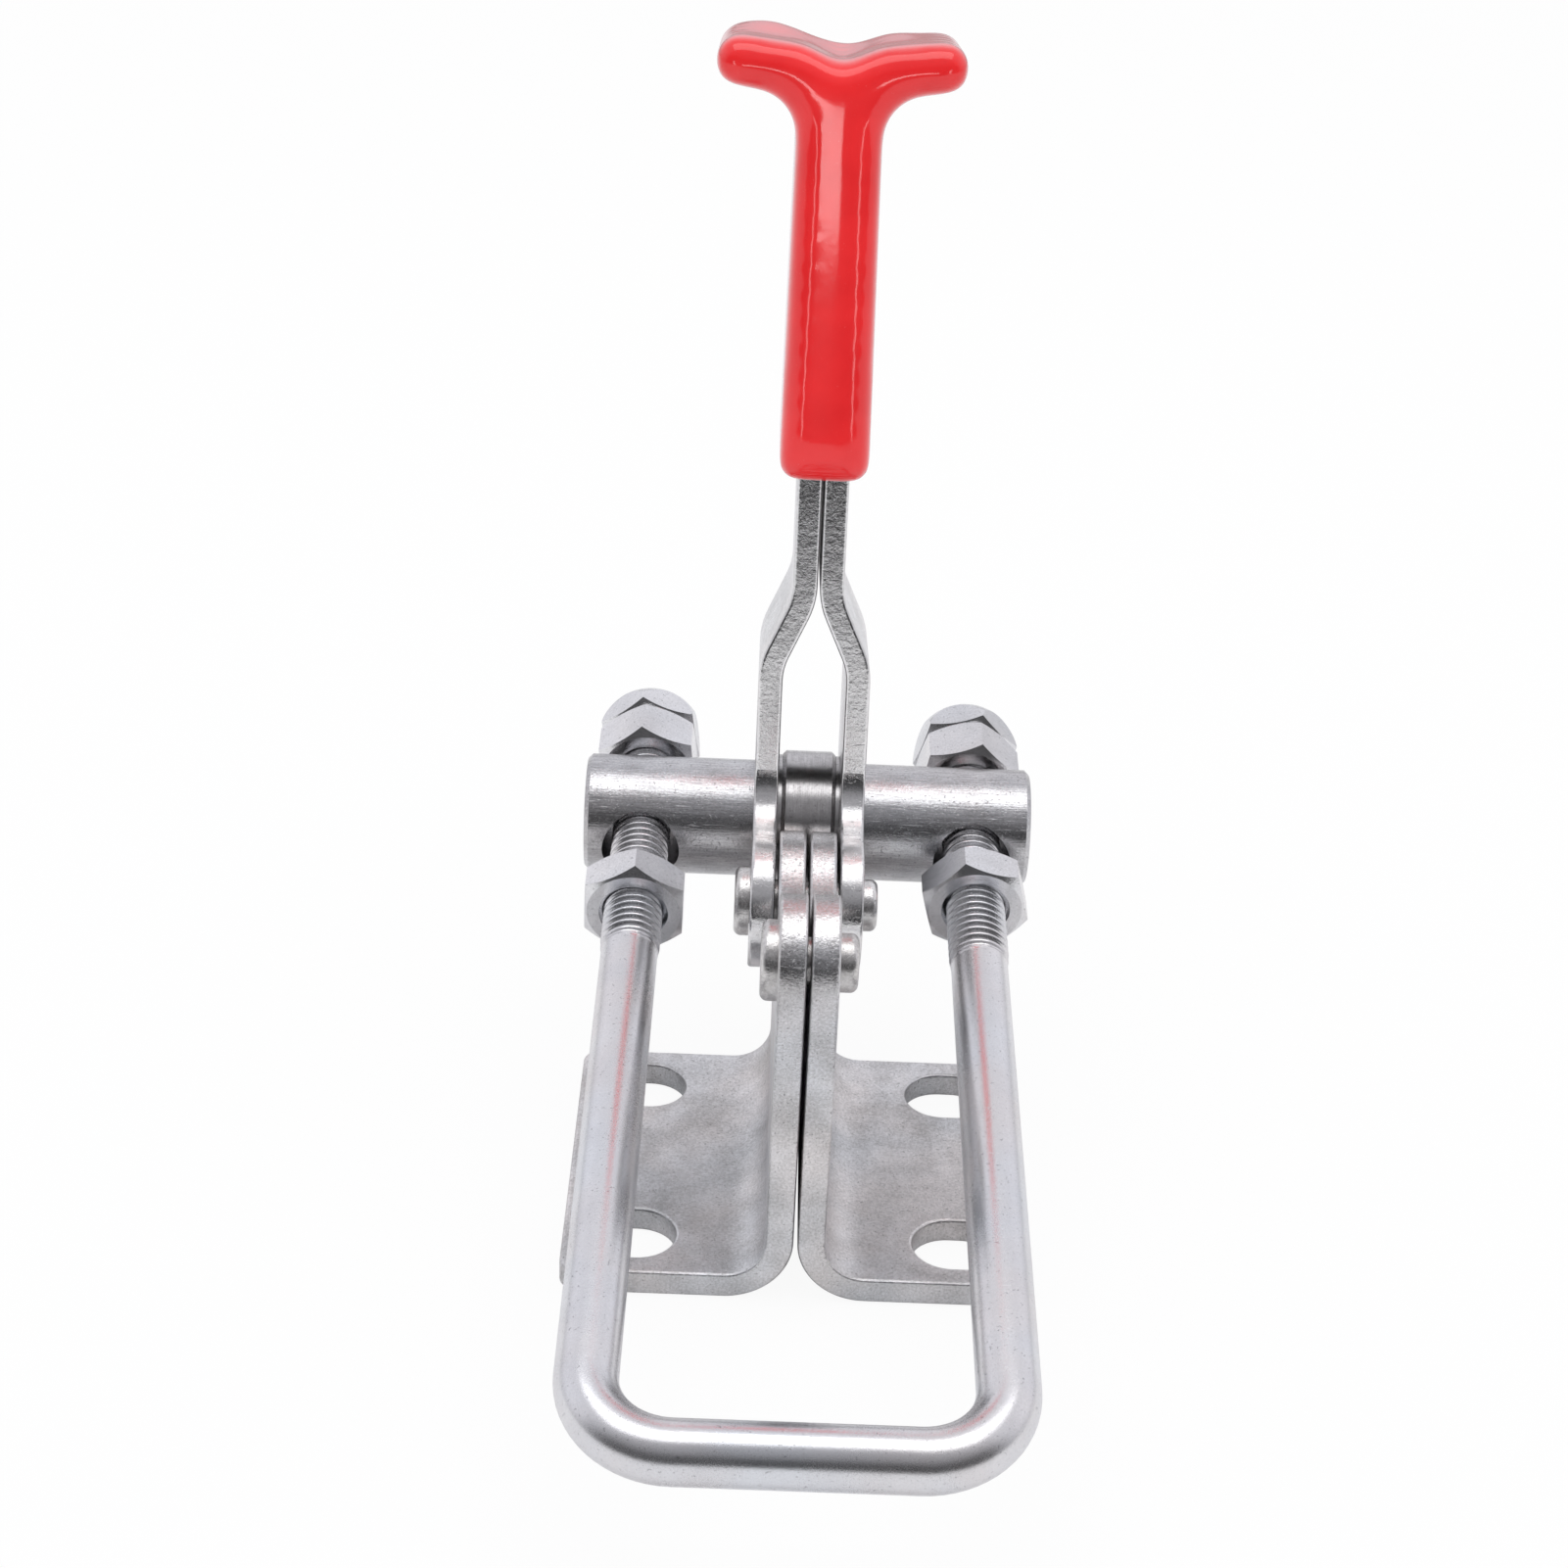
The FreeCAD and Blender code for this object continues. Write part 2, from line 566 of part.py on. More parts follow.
def handle_plate(name, side):
    """One plate of the handle: eye, joggle, stem and one arm of the tee."""
    body = new_body(name, bar_position(), "-handle_lean")
    strip = new_sketch(body, name + "_strip", "XZ_Plane")
    low = "(-bar_behind_pivot)"
    corners = [
        (PLATE_INNER, low),
        (PLATE_OUTER, low),
        (PLATE_OUTER, "joggle_start + " + JOGGLE_SHIFT),
        ("plate_touch + handle_sheet", "joggle_end + " + JOGGLE_SHIFT),
        ("plate_touch + handle_sheet", "tee_height - tee_rise - " + TEE_SHIFT),
        (
            "tee_reach + handle_sheet * sin(" + TEE_SLOPE + ")",
            "tee_height - handle_sheet * cos(" + TEE_SLOPE + ")",
        ),
        ("tee_reach", "tee_height"),
        ("plate_touch", "tee_height - tee_rise"),
        ("plate_touch", "joggle_end"),
        (PLATE_INNER, "joggle_start"),
    ]
    polygon(strip, [(signed(side, across), up) for across, up in corners])
    blank = pad(body, strip, name + "_blank", "arm_width * 3")

    def bend(base, label, hollow, outside, radius):
        hollow_place = [(side * number(hollow[0]), None, number(hollow[1]))]
        outside_place = [(side * number(outside[0]), None, number(outside[1]))]
        inside_edge = edges_along(base, AXIS_Y, hollow_place)
        inside = dress(body, base, name + label + "_in", "Fillet", inside_edge, radius)
        outside_edge = edges_along(inside, AXIS_Y, outside_place)
        thick = radius + " + handle_sheet"
        return dress(body, inside, name + label + "_out", "Fillet", outside_edge, thick)

    lower = bend(blank, "_joggle_low", corners[9], corners[2], "joggle_radius")
    upper = bend(lower, "_joggle_high", corners[3], corners[8], "joggle_radius")
    bend(upper, "_tee_bend", corners[4], corners[7], "tee_bend")

    # Side outline: lobe about the pivot, eye about the bar, straight arm.
    outline = new_sketch(body, name + "_outline", "YZ_Plane")
    half = number(ARM_HALF)
    pivot_across, pivot_up = handle_point("-bar_behind_pivot", "-bar_above_pivot")
    pivot = Vector(number(pivot_across), number(pivot_up), 0)
    lobe = number(HANDLE_LOBE)
    eye = Vector(0, 0, 0)
    eye_radius = number(BAR_EYE)
    top = number("tee_height + arm_width")

    fillet = size("arm_fillet")
    front_centre = Vector(-half - fillet, 0, 0)
    reach = front_centre.x - pivot.x
    front_centre.y = pivot.y + math.sqrt((lobe + fillet) ** 2 - reach ** 2)
    front_on_lobe = pivot + (front_centre - pivot) * (lobe / (lobe + fillet))
    front_on_arm = Vector(-half, front_centre.y, 0)

    hollow = size("eye_fillet")
    rear_centre = Vector(half + hollow, 0, 0)
    rear_centre.y = math.sqrt((eye_radius + hollow) ** 2 - rear_centre.x ** 2)
    rear_on_eye = rear_centre * (eye_radius / (eye_radius + hollow))
    rear_on_arm = Vector(half, rear_centre.y, 0)

    across = eye - pivot
    lean = math.asin((eye_radius - lobe) / across.Length)
    heading = math.atan2(across.y, across.x) - math.pi / 2 - lean
    down = Vector(math.cos(heading), math.sin(heading), 0)
    lobe_low = pivot + down * lobe
    eye_low = eye + down * eye_radius

    front_edge = line(outline, Vector(-half, top, 0), front_on_arm)
    front_hollow = arc(outline, front_centre, front_on_lobe, front_on_arm)
    lobe_arc = arc(outline, pivot, front_on_lobe, lobe_low)
    belly = line(outline, lobe_low, eye_low)
    eye_arc = arc(outline, eye, eye_low, rear_on_eye)
    rear_hollow = arc(outline, rear_centre, rear_on_arm, rear_on_eye)
    rear_edge = line(outline, rear_on_arm, Vector(half, top, 0))
    top_edge = line(outline, Vector(half, top, 0), Vector(-half, top, 0))
    join(outline, "Tangent", front_edge, 2, front_hollow, 2)
    join(outline, "Tangent", front_hollow, 1, lobe_arc, 1)
    join(outline, "Tangent", lobe_arc, 2, belly, 1)
    join(outline, "Tangent", belly, 2, eye_arc, 1)
    join(outline, "Tangent", eye_arc, 2, rear_hollow, 2)
    join(outline, "Tangent", rear_hollow, 1, rear_edge, 1)
    join(outline, "Coincident", rear_edge, 2, top_edge, 1)
    join(outline, "Coincident", top_edge, 2, front_edge, 1)
    pin(outline, front_edge, 1, "-" + ARM_HALF, "tee_height + arm_width")
    pin(outline, rear_edge, 2, ARM_HALF, "tee_height + arm_width")
    outline.addConstraint(Sketcher.Constraint("Vertical", front_edge))
    outline.addConstraint(Sketcher.Constraint("Vertical", rear_edge))
    pin(outline, lobe_arc, 3, pivot_across, pivot_up)
    bind(outline, "Radius", (lobe_arc,), HANDLE_LOBE)
    outline.addConstraint(Sketcher.Constraint("Coincident", eye_arc, 3, -1, 1))
    bind(outline, "Radius", (eye_arc,), BAR_EYE)
    bind(outline, "Radius", (front_hollow,), "arm_fillet")
    bind(outline, "Radius", (rear_hollow,), "eye_fillet")
    polygon(outline, [
        ("-tee_height * 2", "-tee_height"),
        ("tee_height * 2", "-tee_height"),
        ("tee_height * 2", "tee_height * 3"),
        ("-tee_height * 2", "tee_height * 3"),
    ])
    pocket(body, outline, name + "_trim")

    holes = new_sketch(body, name + "_holes", "YZ_Plane")
    circle(holes, "0", "0", "bar_diameter / 2 + bar_fit")
    circle(holes, pivot_across, pivot_up, "pivot_shank / 2 + pivot_fit")
    drilled = pocket(body, holes, name + "_drill")
    soften_sheet(body, drilled, name + "_soft", 0)
    return body


def handle_grip(name):
    """Dipped coating: one solid round the stem and both arms, hollow for the steel."""
    body = new_body(name, bar_position(), "-handle_lean")
    outline = new_sketch(body, name + "_outline", "XZ_Plane")
    stem_top = "(plate_touch + handle_sheet + vinyl)"
    stem_low = "(plate_touch + handle_sheet + vinyl + grip_swell)"
    under = "(tee_height - tee_rise - handle_sheet - vinyl_tee)"
    over = "(tee_height - tee_rise + vinyl_tee)"
    end = "(tee_reach + vinyl_end)"
    right = [
        (stem_low, "grip_start"),
        (stem_top, under),
        (end, under + " + tee_rise"),
        (end, over + " + tee_rise"),
        ("grip_groove_half", over),
    ]
    groove = [("0", over + " - grip_groove")]
    left = [("-" + across, up) for across, up in reversed(right)]
    polygon(outline, right + groove + left)
    blank = pad(body, outline, name + "_blank", "arm_width + 2 * vinyl_end")

    def corner(base, label, picks, radius):
        places = []
        for across, up in picks:
            for side in ((0,) if across == "0" else (1, -1)):
                places.append((side * number(across), None, number(up)))
        edges = edges_along(base, AXIS_Y, places)
        return dress(body, base, name + label, "Fillet", edges, radius)

    throat = corner(blank, "_throat", [right[1]], "grip_throat")
    ends = corner(throat, "_ends", [right[2], right[3]], "grip_end_round")
    ditch = corner(ends, "_groove", [right[4]] + groove, "grip_groove_round")
    rim = corner(ditch, "_rim", [right[0]], "grip_rim")
    depth = number("arm_width / 2 + vinyl_end")
    faces = loop_edges(rim, "Y", [-depth, depth])
    dress(body, rim, name + "_soft", "Fillet", faces, "grip_round")

    return body


def grip_with_cavity(name, coat, plates):
    """The coating with the room of the steel, and the seam between the plates, cut out."""
    seam = doc.addObject("Part::Box", name + "_seam")
    seam.setExpression("Length", expr("2 * plate_touch"))
    seam.setExpression("Width", expr("arm_width"))
    seam.setExpression("Height", expr("tee_height - joggle_end - tee_rise - tee_bend"))
    corner = "vector(-plate_touch; -arm_width / 2; joggle_end)"
    still = "rotation(vector(1; 0; 0); 0)"
    lean = "rotation(vector(1; 0; 0); -handle_lean)"
    place = "placement(vector(0; " + BAR_Y + "; " + BAR_Z + "); " + lean + ")"
    seam.setExpression("Placement", expr(place + " * placement(" + corner + "; " + still + ")"))
    steel = doc.addObject("Part::MultiFuse", name + "_steel")
    steel.Shapes = plates + [seam]
    cut = doc.addObject("Part::Cut", name)
    cut.Label = name
    cut.Base = coat
    cut.Tool = steel
    cut.Placement = Placement()
    doc.recompute()
    return cut


def ring(name, across, width, outer, bore, chamfer=None):
    """A ring about the bar, centred at a place along it."""
    body = new_body(name, (across, BAR_Y, BAR_Z))
    section = new_sketch(body, name + "_section", "YZ_Plane")
    circle(section, "0", "0", outer)
    circle(section, "0", "0", bore)
    sleeve = pad(body, section, name + "_sleeve", width)
    if chamfer:
        half = Vector(number(width) / 2, 0, 0)
        edges = circles_at(sleeve, AXIS_X, number(outer), [half, -half])
        dress(body, sleeve, name + "_chamfer", "Chamfer", edges, chamfer)
    return body


ROLLER_WIDTH = "(2 * (" + PLATE_INNER + " - washer_thickness - 2 * side_play))"
WASHER_X = "(" + PLATE_INNER + " - side_play - washer_thickness / 2)"
BAR_BORE = "bar_diameter / 2 + bar_fit"
ROLLER_RADIUS = "(bar_diameter + roller_step) / 2"
WASHER_RADIUS = "(bar_diameter + washer_step) / 2"
LEG_X = "(bar_length / 2 - leg_inset)"
SPLAY = "atan(leg_spread / hook_reach)"


def leg_point(along, out, side=1):
    """A place on the hook's plane: along the leg from the bar, and outwards."""
    across = LEG_X + " + (%s) * sin(%s) + (%s) * cos(%s)"
    ahead = "(%s) * sin(%s) - (%s) * cos(%s)"
    x = across % (along, SPLAY, out, SPLAY)
    y = ahead % (out, SPLAY, along, SPLAY)
    return signed(side, x), y


def cross_bar(name):
    body = new_body(name, bar_position(), "hook_droop")
    section = new_sketch(body, name + "_section", "YZ_Plane")
    circle(section, "0", "0", "bar_diameter / 2")
    rod = pad(body, section, name + "_rod", "bar_length")
    half = Vector(number("bar_length / 2"), 0, 0)
    edges = circles_at(rod, AXIS_X, size("bar_diameter") / 2, [half, -half])
    dress(body, rod, name + "_chamfer", "Chamfer", edges, "bar_chamfer")
    holes = new_sketch(body, name + "_holes", "XZ_Plane")
    circle(holes, LEG_X, "0", "bar_hole / 2")
    circle(holes, "-" + LEG_X, "0", "bar_hole / 2")
    pocket(body, holes, name + "_drill")
    return body


def hook(name):
    """Bent rod with two threaded legs."""
    body = new_body(name, bar_position(), "hook_droop")

    path = new_sketch(body, name + "_path", "XY_Plane")
    start = "(thread_front - hook_bend)"
    bend = size("hook_bend")
    splay = math.radians(number(SPLAY))
    bottom = -number("hook_reach")
    # corner centre: one bend radius from the leg and from the far rod
    lift = bend
    leg_x = number(LEG_X) - (bottom + lift) * math.tan(splay)
    inner_x = leg_x - bend / math.cos(splay)
    right_centre = Vector(inner_x, bottom + lift, 0)
    left_centre = Vector(-inner_x, bottom + lift, 0)
    out = Vector(math.cos(splay), math.sin(splay), 0) * bend
    mirrored = Vector(-out.x, out.y, 0)
    right_start = Vector(*[number(text) for text in leg_point(start, "0")], 0)
    left_start = Vector(-right_start.x, right_start.y, 0)
    low_right = Vector(inner_x, bottom, 0)
    low_left = Vector(-inner_x, bottom, 0)

    right_leg = line(path, right_start, right_centre + out)
    right_arc = arc(path, right_centre, low_right, right_centre + out)
    far_rod = line(path, low_right, low_left)
    left_arc = arc(path, left_centre, left_centre + mirrored, low_left)
    left_leg = line(path, left_centre + mirrored, left_start)
    join(path, "Tangent", right_leg, 2, right_arc, 2)
    join(path, "Tangent", right_arc, 1, far_rod, 1)
    join(path, "Tangent", far_rod, 2, left_arc, 2)
    join(path, "Tangent", left_arc, 1, left_leg, 1)
    pin(path, right_leg, 1, *leg_point(start, "0"))
    pin(path, left_leg, 2, *leg_point(start, "0", -1))
    bind(path, "Radius", (right_arc,), "hook_bend")
    bind(path, "Radius", (left_arc,), "hook_bend")
    bind(path, "DistanceY", (far_rod, 1, -1, 1), "hook_reach")
    path.addConstraint(Sketcher.Constraint("Horizontal", far_rod))

    section = new_sketch(body, name + "_section", "XZ_Plane")
    # square to the right leg: turned by the splay, moved to the leg's start
    section.AttachmentOffset = Placement(Vector(), Rotation(Vector(0, 1, 0), 1))
    start_x, start_y = leg_point(start, "0")
    section.setExpression("AttachmentOffset.Base.x", expr(start_x))
    section.setExpression("AttachmentOffset.Base.z", expr("-(" + start_y + ")"))
    section.setExpression("AttachmentOffset.Rotation.Angle", expr(SPLAY))
    doc.recompute()
    circle(section, "0", "0", "rod_diameter / 2")
    rod = body.newObject("PartDesign::AdditivePipe", name + "_rod")
    rod.Profile = section
    rod.Spine = (path, ["Edge%d" % count for count in range(1, 6)])
    rod.Mode = "Frenet"
    doc.recompute()

    thread = new_sketch(body, name + "_thread_profile", "XY_Plane")
    crest = "(thread_diameter / 2)"
    step = "(thread_diameter - rod_diameter) / 2"
    polygon(thread, [
        leg_point("-thread_back", "0"),
        leg_point("thread_front + " + step, "0"),
        leg_point("thread_front + " + step, "rod_diameter / 2"),
        leg_point("thread_front", crest),
        leg_point("thread_tip - thread_back", crest),
        leg_point("-thread_back", crest + " - thread_tip"),
    ])
    axis_start = Vector(*[number(text) for text in leg_point("-thread_back", "0")], 0)
    axis_end = Vector(*[number(text) for text in leg_point("thread_front", "0")], 0)
    axis = line(thread, axis_start, axis_end)
    thread.toggleConstruction(axis)
    pin(thread, axis, 1, *leg_point("-thread_back", "0"))
    pin(thread, axis, 2, *leg_point("thread_front", "0"))
    threaded = revolve(body, thread, name + "_thread", "Axis0")
    other = body.newObject("PartDesign::Mirrored", name + "_thread_left")
    other.Originals = [threaded]
    other.MirrorPlane = (plane(body, "YZ_Plane"), [""])
    body.Tip = other
    doc.recompute()
    return body


NUT_BORE = "(thread_diameter / 2 + nut_fit)"


def nut_body(name, side, along):
    """A body on a leg's axis; its +Y points back along the leg."""
    x, y = leg_point(along, "0", side)
    body = doc.addObject("PartDesign::Body", name)
    body.Label = name
    frame = "placement(vector(0; %s; %s); rotation(vector(1; 0; 0); %s))"
    seat = "placement(vector(%s; %s; 0); rotation(vector(0; 0; 1); %s))"
    level = frame % (BAR_Y, BAR_Z, "hook_droop")
    local = seat % (x, y, signed(side, SPLAY))
    body.setExpression("Placement", expr(level + " * " + local))
    return body


def hexagon(sketch, turn):
    radius = "(nut_flats / 2 / cos(30))"
    corners = []
    for count in range(6):
        angle = "(%s + %d)" % (turn, 60 * count + 30)
        corners.append((radius + " * cos(" + angle + ")", radius + " * sin(" + angle + ")"))
    polygon(sketch, corners)


def corner_cut(body, name, faces, lead=None):
    """Cone chamfers over the corners of a hexagon, at faces given as (y, inwards)."""
    sketch = new_sketch(body, name + "_corner_profile", "XY_Plane")
    for level, inward in faces:
        slope = "((nut_flats / cos(30) - nut_face) / 2)"
        polygon(sketch, [
            ("nut_face / 2", level),
            ("nut_face / 2 + 2 * " + slope, level),
            ("nut_face / 2 + 2 * " + slope, level + inward + "2 * nut_chamfer"),
        ])
        if lead:
            polygon(sketch, [
                (NUT_BORE, level),
                (NUT_BORE + " + " + lead, level),
                (NUT_BORE, level + inward + lead),
            ])
    return groove_round(body, sketch, name + "_corners")


def groove_round(body, sketch, name):
    groove = body.newObject("PartDesign::Groove", name)
    groove.Profile = sketch
    groove.ReferenceAxis = (sketch, ["V_Axis"])
    groove.Angle = 360.0
    doc.recompute()
    return groove


def plain_nut(name, side, along, turn, height):
    body = nut_body(name, side, along)
    section = new_sketch(body, name + "_hexagon", "XZ_Plane")
    hexagon(section, turn)
    circle(section, "0", "0", NUT_BORE)
    pad(body, section, name + "_blank", height)
    faces = [(height + " / 2", " - "), ("-" + height + " / 2", " + ")]
    corner_cut(body, name, faces, "nut_lead")
    return body


def cap_nut(name, side, along, turn):
    """Its origin is the tip of the dome, which points back."""
    body = nut_body(name, side, along)
    section = new_sketch(body, name + "_hexagon", "XZ_Plane")
    hexagon(section, turn)
    pad(body, section, name + "_blank", "2 * (cap_rim + cap_dome)")
    front = "(-cap_rim - cap_dome)"
    corner_cut(body, name, [(front, " + ")])

    # All outside a sphere is turned away, so the dome is as wide as the hexagon.
    dome = new_sketch(body, name + "_dome_profile", "XY_Plane")
    radius = size("cap_dome")
    reach = number("2 * (cap_rim + cap_dome)")
    centre = Vector(0, -radius, 0)
    edge = Vector(radius, -radius, 0)
    tip = Vector(0, 0, 0)
    above = Vector(0, reach, 0)
    far = Vector(reach, reach, 0)
    beside = Vector(reach, -radius, 0)
    round_end = arc(dome, centre, edge, tip)
    spine = line(dome, tip, above)
    ceiling = line(dome, above, far)
    wall = line(dome, far, beside)
    floor = line(dome, beside, edge)
    join(dome, "Coincident", round_end, 2, spine, 1)
    join(dome, "Coincident", spine, 2, ceiling, 1)
    join(dome, "Coincident", ceiling, 2, wall, 1)
    join(dome, "Coincident", wall, 2, floor, 1)
    join(dome, "Coincident", floor, 2, round_end, 1)
    dome.addConstraint(Sketcher.Constraint("Vertical", spine))
    dome.addConstraint(Sketcher.Constraint("Horizontal", floor))
    pin(dome, ceiling, 1, "0", "2 * (cap_rim + cap_dome)")
    pin(dome, wall, 1, "2 * (cap_rim + cap_dome)", "2 * (cap_rim + cap_dome)")
    pin(dome, wall, 2, "2 * (cap_rim + cap_dome)", "-cap_dome")
    pin(dome, round_end, 3, "0", "-cap_dome")
    bind(dome, "Radius", (round_end,), "cap_dome")
    groove_round(body, dome, name + "_dome")

    gap = "rear_nut_gap_left" if side < 0 else "rear_nut_gap_right"
    ahead = "(bar_diameter / 2 + " + gap + " + nut_height + cap_gap)"
    depth = "(thread_back + cap_spare - " + ahead + ")"
    bore = new_sketch(body, name + "_bore_profile", "XY_Plane")
    polygon(bore, [
        ("0", front),
        (NUT_BORE, front),
        (NUT_BORE, front + " + " + depth),
        ("0", front + " + " + depth),
    ])
    groove_round(body, bore, name + "_bore")
    return body


bracket("base_bracket_right", 1)
bracket("base_bracket_left", -1)
rivet(
    "frame_rivet", "frame_rivet", FRAME_RIVET_Y, "frame_rivet_height",
    "(bracket_gap / 2 + bracket_sheet)",
    "frame_rivet_head", "frame_rivet_head_height",
    "frame_rivet_tail", "frame_rivet_tail_height",
)
rivet(
    "pivot_rivet", "pivot", PIVOT_Y, "pivot_height",
    "(" + PLATE_OUTER + " + pivot_fit)",
    "pivot_head", "pivot_head_height",
    "pivot_tail", "pivot_head_height",
)
plates = [handle_plate("handle_plate_right", 1), handle_plate("handle_plate_left", -1)]
coat = handle_grip("handle_grip_coat")
grip = grip_with_cavity("handle_grip", coat, plates)
cross_bar("cross_bar")
ring("centre_roller", "0", ROLLER_WIDTH, ROLLER_RADIUS, BAR_BORE, "roller_chamfer")
ring("roller_washer_right", WASHER_X, "washer_thickness", WASHER_RADIUS, BAR_BORE)
ring("roller_washer_left", "-" + WASHER_X, "washer_thickness", WASHER_RADIUS, BAR_BORE)
hook("hook")
for hand, side in (("right", 1), ("left", -1)):
    front = "bar_diameter / 2 + front_nut_gap_%s + thin_nut_height / 2" % hand
    rear = "-(bar_diameter / 2 + rear_nut_gap_%s + nut_height / 2)" % hand
    cap = "-(bar_diameter / 2 + rear_nut_gap_%s + nut_height + cap_gap + cap_rim + cap_dome)"
    plain_nut("front_nut_" + hand, side, front, "front_nut_turn_" + hand, "thin_nut_height")
    plain_nut("rear_nut_" + hand, side, rear, "rear_nut_turn_" + hand, "nut_height")
    cap_nut("cap_nut_" + hand, side, cap % hand, "cap_nut_turn_" + hand)

doc.recompute()

for item in doc.Objects:
    if "Invalid" in item.State or "Error" in item.State:
        raise RuntimeError(item.Name + " failed: " + str(item.State))

nodes = [item for item in doc.Objects if item.TypeId == "PartDesign::Body" and item != coat]
nodes.append(grip)
for item in nodes:
    if item.Shape.isNull() or not item.Shape.isValid():
        raise RuntimeError(item.Label + " has no valid shape")
    item.Shape.exportStep("parts/%s.step" % item.Label)
    print(item.Label, round(item.Shape.Volume, 1), item.Shape.BoundBox)
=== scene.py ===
import math
import bmesh
import bpy
from mathutils import Matrix, Vector
from mathutils.bvhtree import BVHTree


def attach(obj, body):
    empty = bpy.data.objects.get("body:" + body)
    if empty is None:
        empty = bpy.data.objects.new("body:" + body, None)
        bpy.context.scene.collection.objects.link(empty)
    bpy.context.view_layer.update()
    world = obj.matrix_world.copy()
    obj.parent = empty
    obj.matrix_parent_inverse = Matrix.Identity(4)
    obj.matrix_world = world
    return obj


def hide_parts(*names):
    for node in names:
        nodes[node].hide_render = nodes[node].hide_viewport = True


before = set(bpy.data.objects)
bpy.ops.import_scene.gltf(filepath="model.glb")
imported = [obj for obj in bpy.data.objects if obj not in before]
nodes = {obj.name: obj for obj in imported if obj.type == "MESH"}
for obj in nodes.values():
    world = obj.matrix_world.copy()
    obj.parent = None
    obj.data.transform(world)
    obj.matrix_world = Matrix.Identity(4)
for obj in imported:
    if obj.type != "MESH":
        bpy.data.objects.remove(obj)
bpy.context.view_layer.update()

MM = 0.001
WHITE = (1.0, 1.0, 1.0, 1.0)


def smooth_step(value, low, high):
    part = min(max((value - low) / (high - low), 0.0), 1.0)
    return part * part * (3 - 2 * part)


def bell(value, middle, width):
    return math.exp(-((value - middle) / width) ** 2)


def add_object(name, data):
    piece = bpy.data.objects.new(name, data)
    bpy.context.scene.collection.objects.link(piece)
    return piece


